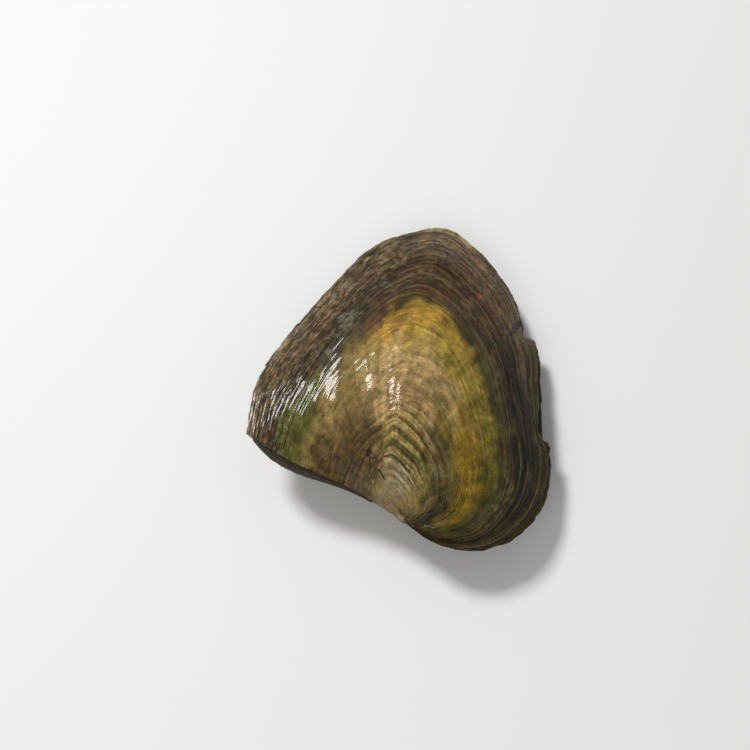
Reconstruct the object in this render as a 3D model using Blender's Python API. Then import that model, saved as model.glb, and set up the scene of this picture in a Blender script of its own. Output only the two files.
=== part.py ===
"""A closed pearl mussel shell, sold as a pearl oyster, lying on its side.

Two thin cupped valves meet rim to rim, and a cigar-shaped ligament joins them
along the hinge line. Each valve is lofted through its growth lines: every line
is a flat outline, and it turns up about the hinge line as the shell gets
younger, so that the beak curls over the hinge.

Run it with: blender --background --python part.py
"""

import math

import bmesh
import bpy
import numpy as np
from mathutils import Matrix, Vector

MM = 0.001

# Growth lines of one valve, in mm from the beak: along the hinge line (positive
# towards the front end), and square to it. Each runs from the front end of the
# hinge round the free margin to the tip of the wing. The eleventh point is the
# corner where the ridge down the back of the shell ends.
ADULT_LINE = (
    (3.4, -0.5), (14.5, -0.6), (27, 6.8), (34.2, 22), (32.4, 38), (24.5, 51),
    (17.5, 62.5), (9.8, 77), (-4.5, 89.8), (-21, 99), (-37.5, 102.6), (-48.5, 92.8),
    (-56.7, 80), (-60, 64), (-62.2, 48), (-63.8, 32), (-62.8, 15), (-56.5, -0.6),
)
MIDDLE_LINE = (
    (2.6, -0.3), (12, 1.4), (20, 8.6), (22, 19.5), (19.8, 29.5), (14.5, 38),
    (8, 46.5), (0.5, 55.5), (-8.5, 63), (-20, 69.2), (-32.3, 70), (-39, 62.5),
    (-42.6, 52.9), (-45.5, 42.3), (-47, 31.5), (-46.8, 20.6), (-45.7, 9.1), (-42.6, -1.4),
)
YOUNG_LINE = (
    (1.1, 0), (3.4, 2.6), (4.9, 6.4), (4.8, 9.6), (3, 12.8), (0.6, 15.6),
    (-2.2, 18.2), (-5.6, 20.6), (-9.4, 23), (-13.4, 25), (-17.3, 25.7), (-19, 22.4),
    (-19.8, 18.7), (-20.2, 15), (-20.3, 11.4), (-20.1, 7.8), (-19.6, 4.2), (-18.6, 0.6),
)
ADULT_AGE = 1.0
MIDDLE_AGE = 0.735
YOUNG_AGE = 0.27
COIL = 0.46  # radians turned about the hinge for each e-fold of growth
FULLNESS = 2.6  # mm that the belly stands proud of that, between the front and the ridge
RIDGE = 10  # where the ridge is in each line's list of points

# Breaks in the free margin, in mm: distance along it from the front end of the
# hinge, length of the step in, its depth, and length over which it tapers out.
MARGIN_BREAKS = ((68, 3.5, 1.8, 16), (106, 5, 2.8, 16))
BREAK_REACH = 0.10  # share of the growth that a break cuts into

# Wall: the cavity is the valve itself, shrunk about its middle and sunk.
CAVITY_MIDDLE = (-16.0, 44.0)  # mm
CAVITY_SPREAD = 0.955
CAVITY_RISE = 0.93
WALL_MIN = 1.2  # mm

SEAM_GAP = 0.3  # mm between the two rims

LIGAMENT_AGES = (0.16, 0.95)  # the ages whose hinge ends it runs between
LIGAMENT_POINTS = 16
LIGAMENT_RADIUS = 1.35  # mm
LIGAMENT_TIP_RADIUS = 0.3
LIGAMENT_SKEW = 1.7  # over 1 puts the thickest place past the middle
LIGAMENT_GAP = 0.35  # mm

# How the shell lies: turned on the table, and leaning on its lower valve.
HEADING = math.radians(-29.4)
LEAN_ABOUT_HINGE = math.radians(-6.3)
LEAN_ALONG_HINGE = math.radians(3.4)
BEAK_PLACE = (1.3, -49.75)  # mm on the table, from the middle of the shell's box
REST_RUB = 0.35  # mm rubbed flat off the lowest point

OUTSIDE_GRID = (80, 20)  # points round the margin, and growth lines
CAVITY_GRID = (44, 12)
FIRST_AGE = 0.035  # the youngest line; inside it the beak closes in one point
SHARP_ANGLE = math.radians(50)


def clear_scene():
    for old in list(bpy.data.objects):
        bpy.data.objects.remove(old)


def new_collection(name):
    made = bpy.data.collections.new(name)
    bpy.context.scene.collection.children.link(made)
    return made


def new_material(name, colour, roughness):
    made = bpy.data.materials.new(name)
    made.use_nodes = True
    shader = made.node_tree.nodes["Principled BSDF"]
    shader.inputs["Base Color"].default_value = (*colour, 1)
    shader.inputs["Roughness"].default_value = roughness
    shader.inputs["Metallic"].default_value = 0
    return made


def smooth_step(x):
    x = np.clip(x, 0, 1)
    return x * x * (3 - 2 * x)


def smooth_line(points, places):
    """Points of the Catmull-Rom curve through points, at places from 0 to len(points) - 1."""
    p = np.array(points, float)
    p = np.vstack([2 * p[0] - p[1], p, 2 * p[-1] - p[-2]])
    start = np.minimum(places.astype(int), len(points) - 2)
    u = (places - start)[:, None]
    before, here, after, beyond = (p[start + k] for k in range(4))
    return 0.5 * (
        2 * here
        + (after - before) * u
        + (2 * before - 5 * here + 4 * after - beyond) * u**2
        + (3 * here - before - 3 * after + beyond) * u**3
    )


def margin_places(count):
    """Places on the adult line that lie evenly along it, and how far along it they are."""
    fine = np.linspace(0, len(ADULT_LINE) - 1, 2000)
    steps = np.diff(smooth_line(ADULT_LINE, fine), axis=0)
    along = np.append(0, np.cumsum(np.hypot(*steps.T)))
    even = np.linspace(0, along[-1], count)
    return np.interp(even, along, fine), even


def age_weights(age):
    """What each of the three growth lines counts for at an age: a parabola through their shares."""
    ages = (YOUNG_AGE, MIDDLE_AGE, ADULT_AGE)
    weights = []
    for own in ages:
        others = [other for other in ages if other != own]
        weights.append(math.prod((age - other) / (own - other) for other in others) * age / own)
    return weights


def margin_break(along):
    """How far the adult margin is set back, in mm, at each distance along it."""
    set_back = np.zeros_like(along)
    for place, step, depth, taper in MARGIN_BREAKS:
        broken = smooth_step((along - place) / step)
        set_back += depth * broken * (1 - smooth_step((along - place - step) / taper))
    return set_back


def growth_line(age, places, along):
    """Points of the growth line of one age, as (along hinge, square to hinge, height) in mm."""
    lines = (YOUNG_LINE, MIDDLE_LINE, ADULT_LINE)
    flat = sum(w * smooth_line(line, places) for w, line in zip(age_weights(age), lines))
    late = smooth_step((age - ADULT_AGE + BREAK_REACH) / BREAK_REACH)
    reach = np.maximum(np.hypot(*flat.T), 1)
    flat = flat * (1 - late * margin_break(along) / reach)[:, None]
    (front_x, front_y), (back_x, back_y) = flat[0], flat[-1]
    hinge = front_y + (back_y - front_y) * (flat[:, 0] - front_x) / (back_x - front_x)
    rise = flat[:, 1] - hinge
    turn = COIL * math.log(1 / age)
    belly = FULLNESS * 4 * age * (1 - age) * np.sin(math.pi * np.minimum(places / RIDGE, 1))
    height = rise * math.sin(turn) + belly
    return np.column_stack([flat[:, 0], hinge + rise * math.cos(turn), height])


def valve_body(name, side, grid):
    """One valve with no cavity: the loft through its growth lines, closed by a flat face on the seam."""
    columns, rows = grid
    places, along = margin_places(columns)
    ages = np.linspace(FIRST_AGE, ADULT_AGE, rows)
    mesh = bmesh.new()
    beak = mesh.verts.new((0, 0, 0))
    middle = mesh.verts.new(Vector((*CAVITY_MIDDLE, 0)) * MM)
    lines = []
    for age in ages:
        lines.append([mesh.verts.new(point * MM) for point in growth_line(age, places, along)])
    for column in range(columns - 1):
        mesh.faces.new((beak, lines[0][column], lines[0][column + 1]))
    for inner, outer in zip(lines, lines[1:]):
        for column in range(columns - 1):
            mesh.faces.new((inner[column], outer[column], outer[column + 1], inner[column + 1]))
    for edge in [edge for edge in mesh.edges if edge.is_boundary]:
        mesh.faces.new((*edge.verts, middle))
    bmesh.ops.scale(mesh, vec=(1, 1, side), verts=mesh.verts)
    bmesh.ops.translate(mesh, vec=(0, 0, side * SEAM_GAP / 2 * MM), verts=mesh.verts)
    bmesh.ops.recalc_face_normals(mesh, faces=mesh.faces)
    data = bpy.data.meshes.new(name)
    mesh.to_mesh(data)
    mesh.free()
    data.shade_smooth()
    data.set_sharp_from_angle(angle=SHARP_ANGLE)
    return data


def cavity_matrix(side):
    """Shrinks a valve about its middle and sinks it past the seam."""
    middle = Vector((*CAVITY_MIDDLE, 0)) * MM
    shrink = Matrix.Diagonal((CAVITY_SPREAD, CAVITY_SPREAD, CAVITY_RISE, 1))
    sink = Matrix.Translation((0, 0, -side * WALL_MIN * MM))
    return sink @ Matrix.Translation(middle) @ shrink @ Matrix.Translation(-middle)


def add_object(name, data, collection, parent):
    made = bpy.data.objects.new(name, data)
    collection.objects.link(made)
    made.parent = parent
    return made


def as_cutter(cutter):
    cutter.hide_render = True
    cutter.display_type = "WIRE"
    return cutter


def cut(target, cutter, name):
    modifier = target.modifiers.new(name, "BOOLEAN")
    modifier.operation = "DIFFERENCE"
    modifier.object = cutter


def add_valve(name, side, material, parts, cutters, seam):
    body = valve_body(name, side, OUTSIDE_GRID)
    body.materials.append(material)
    hollow = valve_body(f"{name}_cavity", side, CAVITY_GRID)
    hollow.transform(cavity_matrix(side))
    valve = add_object(name, body, parts, seam)
    cutter = as_cutter(add_object(f"{name}_cavity", hollow, cutters, seam))
    cut(valve, cutter, "cavity")
    return valve


def add_ligament(material, parts, seam):
    """A cigar-shaped band just outside the hinge ends of the growth lines."""
    curve = bpy.data.curves.new("hinge_ligament", "CURVE")
    curve.dimensions = "3D"
    curve.bevel_depth = LIGAMENT_RADIUS * MM
    curve.bevel_resolution = 3
    curve.use_fill_caps = True
    spline = curve.splines.new("POLY")
    spline.points.add(LIGAMENT_POINTS - 1)
    places, along = margin_places(OUTSIDE_GRID[0])
    for share, point in zip(np.linspace(0, 1, LIGAMENT_POINTS), spline.points):
        swelling = math.sin(math.pi * share**LIGAMENT_SKEW)
        radius = LIGAMENT_TIP_RADIUS + (LIGAMENT_RADIUS - LIGAMENT_TIP_RADIUS) * swelling
        x, y, _ = growth_line(np.interp(share, (0, 1), LIGAMENT_AGES), places, along)[-1]
        point.co = (x * MM, (y - radius - LIGAMENT_GAP) * MM, 0, 1)
        point.radius = radius / LIGAMENT_RADIUS
    curve.materials.append(material)
    return add_object("hinge_ligament", curve, parts, seam)


def add_table_cutter(cutters):
    """A slab whose top is the table: it rubs the lowest point of the lower valve flat."""
    bpy.ops.mesh.primitive_cube_add(size=0.2, location=(0, 0, -0.1))
    slab = bpy.context.object
    slab.name = "table"
    for owner in list(slab.users_collection):
        owner.objects.unlink(slab)
    cutters.objects.link(slab)
    return as_cutter(slab)


def main():
    clear_scene()
    parts = new_collection("oyster_shell")
    cutters = new_collection("cutters")
    skin = new_material("shell_skin", (0.16, 0.10, 0.035), 0.3)
    band = new_material("ligament", (0.035, 0.02, 0.012), 0.45)

    seam = bpy.data.objects.new("seam", None)
    parts.objects.link(seam)
    seam.rotation_euler = (LEAN_ABOUT_HINGE, LEAN_ALONG_HINGE, HEADING)

    add_valve("upper_valve", 1, skin, parts, cutters, seam)
    lower = add_valve("lower_valve", -1, skin, parts, cutters, seam)
    turned = seam.rotation_euler.to_matrix()
    lowest = min((turned @ vertex.co).z for vertex in lower.data.vertices)
    seam.location = Vector((*BEAK_PLACE, -REST_RUB)) * MM - Vector((0, 0, lowest))
    cut(lower, add_table_cutter(cutters), "rest")
    add_ligament(band, parts, seam)


main()
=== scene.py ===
"""The looks of a closed pearl mussel shell that lies on its side.

Each valve is lofted through its solid's growth lines, many more of them, and then gets its relief:
folds by the beak, rests in the growth, thin layers near the rim, and a worn beak. Lengths are in
millimetres until a mesh is made. A point of a valve is told by its place along the margin (0 at the
front end of the hinge, 17 at the tip of the wing) and its age (0 at the beak, 1 at the rim).
"""

import math

import bmesh
import bpy
import numpy as np
from mathutils import Euler, Matrix, Vector


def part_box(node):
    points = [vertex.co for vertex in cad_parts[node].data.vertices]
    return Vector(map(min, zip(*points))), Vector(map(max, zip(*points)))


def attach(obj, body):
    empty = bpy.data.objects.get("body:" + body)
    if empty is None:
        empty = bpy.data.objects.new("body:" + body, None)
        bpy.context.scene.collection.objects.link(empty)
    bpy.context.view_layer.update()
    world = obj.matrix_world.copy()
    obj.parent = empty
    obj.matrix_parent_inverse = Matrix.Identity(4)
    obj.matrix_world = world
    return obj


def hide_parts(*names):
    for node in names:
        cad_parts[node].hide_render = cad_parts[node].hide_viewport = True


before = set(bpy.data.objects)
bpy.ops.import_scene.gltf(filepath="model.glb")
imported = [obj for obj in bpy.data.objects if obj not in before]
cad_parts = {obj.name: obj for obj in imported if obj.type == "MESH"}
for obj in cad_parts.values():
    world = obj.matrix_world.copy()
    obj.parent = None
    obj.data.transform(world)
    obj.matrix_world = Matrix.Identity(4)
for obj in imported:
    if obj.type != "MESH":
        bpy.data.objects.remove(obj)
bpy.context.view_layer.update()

MM = 0.001

# The solids' growth lines, as points along the hinge line and square to it, from the beak.
ADULT_LINE = (
    (3.4, -0.5), (14.5, -0.6), (27, 6.8), (34.2, 22), (32.4, 38), (24.5, 51),
    (17.5, 62.5), (9.8, 77), (-4.5, 89.8), (-21, 99), (-37.5, 102.6), (-48.5, 92.8),
    (-56.7, 80), (-60, 64), (-62.2, 48), (-63.8, 32), (-62.8, 15), (-56.5, -0.6),
)
MIDDLE_LINE = (
    (2.6, -0.3), (12, 1.4), (20, 8.6), (22, 19.5), (19.8, 29.5), (14.5, 38),
    (8, 46.5), (0.5, 55.5), (-8.5, 63), (-20, 69.2), (-32.3, 70), (-39, 62.5),
    (-42.6, 52.9), (-45.5, 42.3), (-47, 31.5), (-46.8, 20.6), (-45.7, 9.1), (-42.6, -1.4),
)
YOUNG_LINE = (
    (1.1, 0), (3.4, 2.6), (4.9, 6.4), (4.8, 9.6), (3, 12.8), (0.6, 15.6),
    (-2.2, 18.2), (-5.6, 20.6), (-9.4, 23), (-13.4, 25), (-17.3, 25.7), (-19, 22.4),
    (-19.8, 18.7), (-20.2, 15), (-20.3, 11.4), (-20.1, 7.8), (-19.6, 4.2), (-18.6, 0.6),
)
LINE_AGES = (0.27, 0.735, 1.0)
MEASURING_STEPS = 2000  # along the adult line
COIL = 0.46  # radians turned about the hinge for each e-fold of growth
FULLNESS = 2.6  # how much prouder the belly stands half way through the growth
RIDGE = 10  # the place of the ridge down the back of the shell
MARGIN_BREAKS = ((68, 3.5, 1.8, 16), (106, 5, 2.8, 16))  # along the margin, step in, depth, taper
BREAK_REACH = 0.1  # how far back they reach, in age

OUTSIDE_GRID = (284, 330)  # points round the margin, and growth lines
SOLID_GRID = (80, 20)  # of the solids
FIRST_AGE = 0.02
RIM_GAP = 0.12  # between the two rims
SOLID_RIM_GAP = 0.3
SMALLEST_EDGE = 0.01
SHARP_EDGE = math.radians(50)


def ease(x):
    """From 0 to 1 as x is, with a soft start and end."""
    x = np.clip(x, 0, 1)
    return x * x * (3 - 2 * x)


def rising(x, start, length):
    """From 0 at the start to 1, over a length."""
    return ease((x - start) / length)


def falling(x, end, length):
    """From 1 to 0 at the end, over a length."""
    return ease((end - x) / length)


def between(x, low, high, soft):
    """1 where x is from low to high, fading to 0 over soft outside them."""
    return ease((x - low) / soft + 1) * ease((high - x) / soft + 1)


def hump(x, middle, width):
    """1 at the middle, falling off to 0 on both sides of it."""
    return np.exp(-(((x - middle) / width) ** 2))


def soft_noise(x, y, seed):
    """Smooth noise from -1 to 1, with about one bump to each unit of x and of y."""
    size = 64  # after this many bumps it repeats
    table = np.random.default_rng(seed).uniform(-1, 1, (size, size))
    column = np.floor(x).astype(int)
    row = np.floor(y).astype(int)
    u = ease(x - column)
    v = ease(y - row)

    def corner(right, up):
        return table[(column + right) % size, (row + up) % size]

    near = corner(0, 0) * (1 - u) + corner(1, 0) * u
    far = corner(0, 1) * (1 - u) + corner(1, 1) * u
    return near * (1 - v) + far * v


def rough_noise(x, y, seed, octaves=3):
    """Noise with finer and finer bumps, each octave half as strong as the one before."""
    total = 0
    for octave in range(octaves):
        total = total + soft_noise(x * 2**octave, y * 2**octave, seed + octave) / 2**octave
    return total


# --- the growth lines ---


def smooth_line(points, places):
    """Points of the Catmull-Rom curve through points, at places from 0 to len(points) - 1."""
    p = np.array(points, float)
    p = np.vstack([2 * p[0] - p[1], p, 2 * p[-1] - p[-2]])
    start = np.minimum(places.astype(int), len(points) - 2)
    u = (places - start)[:, None]
    before, here, after, beyond = (p[start + k] for k in range(4))
    return 0.5 * (
        2 * here
        + (after - before) * u
        + (2 * before - 5 * here + 4 * after - beyond) * u**2
        + (3 * here - before - 3 * after + beyond) * u**3
    )


def margin_places(count):
    """Places on the adult line that lie evenly along it, and how far along it they are."""
    fine = np.linspace(0, len(ADULT_LINE) - 1, MEASURING_STEPS)
    steps = np.diff(smooth_line(ADULT_LINE, fine), axis=0)
    along = np.append(0, np.cumsum(np.hypot(*steps.T)))
    even = np.linspace(0, along[-1], count)
    return np.interp(even, along, fine), even


def age_weights(age):
    """What each of the three growth lines counts for at an age: a parabola through their shares."""
    weights = []
    for own in LINE_AGES:
        others = [other for other in LINE_AGES if other != own]
        weights.append(math.prod((age - other) / (own - other) for other in others) * age / own)
    return weights


def margin_break(along):
    """How far the adult margin is set back at each distance along it."""
    set_back = np.zeros_like(along)
    for start, step, depth, taper in MARGIN_BREAKS:
        broken = rising(along, start, step)
        set_back += depth * broken * (1 - ease((along - start - step) / taper))
    return set_back


def growth_line(age, places, along):
    """Points of the growth line of one age: along the hinge, square to it, and height."""
    lines = (YOUNG_LINE, MIDDLE_LINE, ADULT_LINE)
    flat = sum(w * smooth_line(line, places) for w, line in zip(age_weights(age), lines))
    late = ease((age - 1 + BREAK_REACH) / BREAK_REACH)
    reach = np.maximum(np.hypot(*flat.T), 1)
    flat = flat * (1 - late * margin_break(along) / reach)[:, None]
    (front_x, front_y), (back_x, back_y) = flat[0], flat[-1]
    hinge = front_y + (back_y - front_y) * (flat[:, 0] - front_x) / (back_x - front_x)
    rise = flat[:, 1] - hinge
    turn = COIL * math.log(1 / age)
    belly = FULLNESS * 4 * age * (1 - age) * np.sin(math.pi * np.minimum(places / RIDGE, 1))
    height = rise * math.sin(turn) + belly
    return np.column_stack([flat[:, 0], hinge + rise * math.cos(turn), height])


def growth_surface(grid):
    """Points, places and ages of a whole valve, with a row for each growth line."""
    columns, rows = grid
    places, along = margin_places(columns)
    ages = np.linspace(FIRST_AGE, 1, rows)
    points = np.array([growth_line(age, places, along) for age in ages])
    place, age = np.meshgrid(places, ages)
    return points, place, age, along


def unit(vectors):
    return vectors / np.maximum(np.linalg.norm(vectors, axis=2, keepdims=True), 1e-9)


def surface_frame(points):
    """The outward normal at each point, and the direction in which the shell grows there."""
    across = np.gradient(points, axis=1)
    outward = np.gradient(points, axis=0)
    normal = unit(np.cross(outward, across))
    middle = points.shape[1] // 2
    return normal * np.sign(normal[-1, middle, 2]), unit(outward)


# --- wandering ---

# By how much of the age they drift, and the bumps to a unit of place and of age.
DRIFTS = ((0.002, 0.9, 9), (0.0008, 2.6, 30), (0.0013, 7.3, 40))


def ridge_turn(place, age):
    """How much older the skin by the ridge counts, so that growth lines turn in a curve there."""
    turn = 0.02 + 0.085 * rising(age, 0.17, 0.06) + 0.075 * rising(age, 0.26, 0.1)
    turn = turn * hump(place, 10.6, 2.0) * falling(age, 0.66, 0.35)
    return turn - 0.085 * hump(place, 11.4, 1.0) * falling(age, 0.26, 0.07)


def wandering_age(place, age, seed):
    """Age, shifted a little to and fro so that growth lines wander and pinch as they run."""
    shares = (1, 1, rising(age, 0.7, 0.12))  # the finest drift is only in the outer zone
    drift = 0
    for number, (share, (size, across, out)) in enumerate(zip(shares, DRIFTS)):
        drift = drift + share * size * soft_noise(place * across, age * out, seed + number)
    return age * (1 + ridge_turn(place, age)) + drift * falling(age, 1, 0.06)


# --- folds and layers ---

WORN_AGE = 0.182  # the beak is worn to about this age
FOLD_STEP = 0.0435  # of the age, from one fold by the beak to the next
FOLD_HEIGHT = 1.56
SMALL_FOLDS = 2.3  # to one of the large
# Weaker folds on the wing and down the belly: strength, ages and places.
WEAK_FOLDS = (
    (0.1, (0.25, 0.4, 0.1), (11.4, 15, 1.2)),
    (0.14, (0.35, 0.6, 0.1), (3, 9, 2)),
)

# Growth rests: age, and how far the shell steps down there.
RESTS_FROM = 0.36
RESTS = (
    (0.42, 0.1), (0.47, 0.08), (0.53, 0.1), (0.585, 0.07), (0.64, 0.1), (0.7, 0.1),
    (0.735, 0.12), (0.757, 0.22), (0.785, 0.12), (0.806, 0.24), (0.838, 0.14), (0.857, 0.1),
    (0.885, 0.26), (0.899, 0.12), (0.914, 0.18), (0.936, 0.12), (0.955, 0.26), (0.968, 0.14),
    (0.985, 0.18), (1.0, 0.12),
)
LAYER_END = 0.0045  # the age that the step down takes
EDGE_LINE = (0.004, 0.001, 0.003)  # its pale edge starts and ends this much before, and fades over
FULL_EDGE_STEP = 0.26  # a layer that steps down this far has its pale edge in full


def folds(place, age, seed):
    """Rounded folds that follow the growth lines by the beak, strongest before the ridge."""
    phase = (age - WORN_AGE) / FOLD_STEP + 0.22 * soft_noise(place * 0.7, age * 12, seed)
    uneven = 0.75 + 0.35 * soft_noise(place * 1.6, age * 22, seed + 1)
    share = phase - np.floor(phase)
    crest = share**1.2 * (1 - rising(share, 0.7, 0.3))
    small = SMALL_FOLDS * phase - np.floor(SMALL_FOLDS * phase)
    crest += 0.3 * small * (1 - rising(small, 0.6, 0.4))
    strength = between(age, 0.17, 0.27, 0.1) * rising(place, 4.8, 2) * falling(place, 10.7, 0.9)
    for weak, ages, places in WEAK_FOLDS:
        strength += weak * between(age, *ages) * between(place, *places)
    return FOLD_HEIGHT * crest * strength * uneven


def layers(place, age, start, rests, seed):
    """Each layer swells a little on its way out, and ends in a step down to the next."""
    total = np.zeros_like(age)
    for number, (end, step) in enumerate(rests):
        share = (age - start) / (end - start)
        swell = np.clip(share, 0, 1) ** 1.5 * (1 - ease((age - end) / LAYER_END + 0.5))
        uneven = 0.8 + 0.4 * soft_noise(place * 1.1, np.full_like(age, number * 3.7), seed + number)
        total += step * swell * uneven
        start = end
    return total


def layer_edges(place, age, rests, seed):
    """How much of a pale, broken line shows at each point, along the outer edge of a layer."""
    total = np.zeros_like(age)
    start, stop, fade = EDGE_LINE
    for number, (end, step) in enumerate(rests):
        broken = rough_noise(place * 1.3, np.full_like(age, number * 7.3), seed + number, 2)
        line = between(age, end - start, end - stop, fade) * ease(0.3 + 1.2 * broken)
        total = np.maximum(total, line * min((step / FULL_EDGE_STEP) ** 2, 1))
    return total


# --- wear ---

WORN_DEPTH = 0.12  # below the skin round it
WORN_STEPS_FROM = 0.075
WORN_STEPS = ((0.107, 0.06), (0.128, 0.13), (0.147, 0.22), (0.178, 0.36))  # age, and the step down there
PIT_DEPTH = 0.2
WORN_TIP = 1.2  # how much more is gone from the tip of the beak

# Marks on the skin, each from one place and age to another: half-width, strength and depth.
UPPER_MARKS = (
    (12.74, 0.185, 12.2, 0.139, 0.38, 1, 0.3),  # a crack in the worn beak
    (13.05, 0.277, 12.95, 0.258, 0.7, 0.8, 0.15),  # a dark scar behind it, with two lines
    (13.35, 0.278, 13.45, 0.262, 0.75, 0.75, 0.15),
    (13.2, 0.271, 13.25, 0.262, 1.1, 0.6, 0.1),
    (13.36, 0.247, 13.64, 0.229, 0.42, 0.85, 0.12),
    (13.1, 0.24, 12.45, 0.229, 0.4, 0.45, 0.05),
    (7.4, 0.187, 11.3, 0.188, 0.3, 0.8, 0.15),  # the groove round the worn beak, its near black a painted shade
    (4.15, 0.503, 4.25, 0.503, 0.35, 0.6, 0.08),  # four small scars
    (6.65, 0.333, 6.75, 0.333, 0.3, 0.6, 0.05),
    (10.5, 0.6, 10.8, 0.602, 0.35, 0.55, 0.05),
    (1.4, 0.25, 2.6, 0.242, 0.6, 0.55, 0.12),
    (7.62, 1, 7.5, 0.9, 1.1, 0.75, 0.45),  # the skin torn away at the break in the rim
    (7.46, 0.885, 7.46, 0.815, 0.22, 0.6, 0.15),  # a crack from there, which turns along a layer
    (7.4, 0.812, 6.3, 0.815, 0.22, 0.55, 0.15),
    (4.62, 0.93, 4.68, 0.99, 0.25, 0.5, 0.1),  # two short cracks in the rim
    (5.05, 0.975, 5.2, 0.93, 0.3, 0.5, 0.12),
)
LOWER_MARKS = (
    # the groove round the worn beak, its near black a painted shade
    (7.9, 0.187, 11, 0.188, 0.3, 0.7, 0.12),
    (9.2, 0.42, 9.5, 0.424, 0.35, 0.55, 0.08),
    (12.6, 0.62, 12.9, 0.612, 0.4, 0.5, 0.08),
    (5.6, 0.56, 5.6, 0.575, 0.35, 0.5, 0.06),
    (7.6, 1, 7.5, 0.93, 0.9, 0.65, 0.3),
)
PLACE_TO_MM = 19  # a unit of place at the rim, less at younger ages
AGE_TO_MM = 100

# The rim's torn skin: how far it reaches to and fro, and the length of a bump.
TEARS = ((0.24, 3.1), (0.18, 1.1))
FLAKE = (67, 74, 3)  # where along the margin the skin is torn more, at the break
FLAKE_TEARS = 2.2
CHIP_LENGTH = 2.3
CHIP_DEPTH = 1.1
NOTCH_PLACE = 111.5  # along the margin, just past the higher break
NOTCH_WIDTH = 2.6
NOTCH_DEPTH = 1.3
OVERHANG_PLACES = (2.5, 6, 1.5)  # where the rim of one valve reaches past that of the other
LOWER_OVERHANG = 1.1


def worn_beak(place, age, seed):
    """The skin is gone from the beak, and the shell under it is dull, with a few steps and pits."""
    front = 0.05 * falling(place, 7, 5)  # so much less far is the beak worn at the front
    edge = WORN_AGE + 0.003 * rough_noise(place * 0.9, age * 0, seed, 2)
    edge += 0.003 * rising(place, 11.5, 1.5) - front
    worn = falling(age, edge, 0.006)
    steps = layers(place, age + front, WORN_STEPS_FROM, WORN_STEPS, seed + 5)
    steps *= between(place, 4.5, 10.4, 1.6)
    pits = np.clip(rough_noise(place * 3.5, age * 70, seed + 9, 2) - 0.7, 0, 1)
    return worn * (steps - WORN_DEPTH * ease(age / 0.1) - PIT_DEPTH * pits), worn


def marks(place, age, table):
    """How strongly each point is marked by a crack, a scar or a groove, and how deep that goes."""
    strength = np.zeros_like(age)
    depth = np.zeros_like(age)
    for first_place, first_age, last_place, last_age, width, strong, deep in table:
        across = PLACE_TO_MM * first_age
        run = np.array([(last_place - first_place) * across, (last_age - first_age) * AGE_TO_MM])
        from_first = np.stack([(place - first_place) * across, (age - first_age) * AGE_TO_MM])
        share = np.clip(np.tensordot(run, from_first, 1) / (run @ run), 0, 1)
        off = np.hypot(from_first[0] - share * run[0], from_first[1] - share * run[1])
        mark = ease(1.5 - off / width)
        strength = np.maximum(strength, strong * mark)
        depth += deep * mark
    return strength, depth


def ragged_margin(along, seed):
    """How far the rim reaches past its smooth line: torn skin and small chips."""
    torn = 0
    for number, (size, length) in enumerate(TEARS):
        torn = torn + size * soft_noise(along / length, along * 0, seed + number)
    torn *= 1 + FLAKE_TEARS * between(along, *FLAKE)
    chips = np.clip(soft_noise(along / CHIP_LENGTH, along * 0 + 7, seed + len(TEARS)) - 0.45, 0, 1)
    notch = ease(1 - np.abs(along - NOTCH_PLACE) / NOTCH_WIDTH)
    return torn - CHIP_DEPTH * chips - NOTCH_DEPTH * notch


# --- relief ---

UPPER_SEED = 11  # each noise of a valve takes a seed of its own, counted on from this
LOWER_SEED = 211
# Swells of the surface: height, bumps to a unit of place and of age, and the age when they are full.
SWELLS = ((0.3, 0.8, 6, 0.5), (0.1, 2.3, 17, 0.4))
LATE_GRAIN = 0.07
FINE_LINES = 0.05
RIDGE_HEIGHT = 0.22
RIDGE_ROUNDING = 0.45
CREST_REACH = 5  # growth lines on each side with which a height is compared
CREST_HEIGHT = 0.07
DEEPEST = 0.35  # the relief may take this share of the height over the seam


def valve_relief(place, age, seed):
    """How far the skin stands proud, its wandering age, how worn it is, and the layers' pale edges."""
    wandering = wandering_age(place, age, seed)
    wear, worn = worn_beak(place, wandering, seed + 20)
    proud = (1 - worn) * folds(place, wandering, seed + 30)
    flatter = 1 - 0.6 * rising(place, 6, 2.5)
    proud += layers(place, wandering, RESTS_FROM, RESTS, seed + 40) * flatter
    proud += wear
    for number, (height, across, out, full) in enumerate(SWELLS):
        noise = soft_noise(place * across, age * out, seed + 60 + number)
        proud += height * ease(age / full) * noise
    late = rising(age, 0.72, 0.15)
    proud += LATE_GRAIN * late * rough_noise(place * 4.1, wandering * 110, seed + 62, 2)
    proud += FINE_LINES * (1 - worn) * soft_noise(place * 1.1, wandering * 130, seed + 64)
    proud += RIDGE_HEIGHT * hump(place, RIDGE, 1) * between(age, 0.2, 0.5, 0.14)
    proud -= RIDGE_ROUNDING * hump(place, RIDGE, 0.5) * between(age, 0.15, 0.5, 0.1)
    edges = layer_edges(place, wandering, RESTS, seed + 70)
    return proud, wandering, worn, edges


def crest_shading(proud):
    """From -1 in a groove to 1 on a crest, against the mean height of the growth just round it. The skin
    takes it as painted light on crests and painted shade in grooves.
    """
    padded = np.pad(proud, ((CREST_REACH, CREST_REACH), (0, 0)), mode="edge")
    window = 2 * CREST_REACH + 1
    mean = sum(padded[k : k + len(proud)] for k in range(window)) / window
    return np.tanh((proud - mean) / CREST_HEIGHT)


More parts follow.
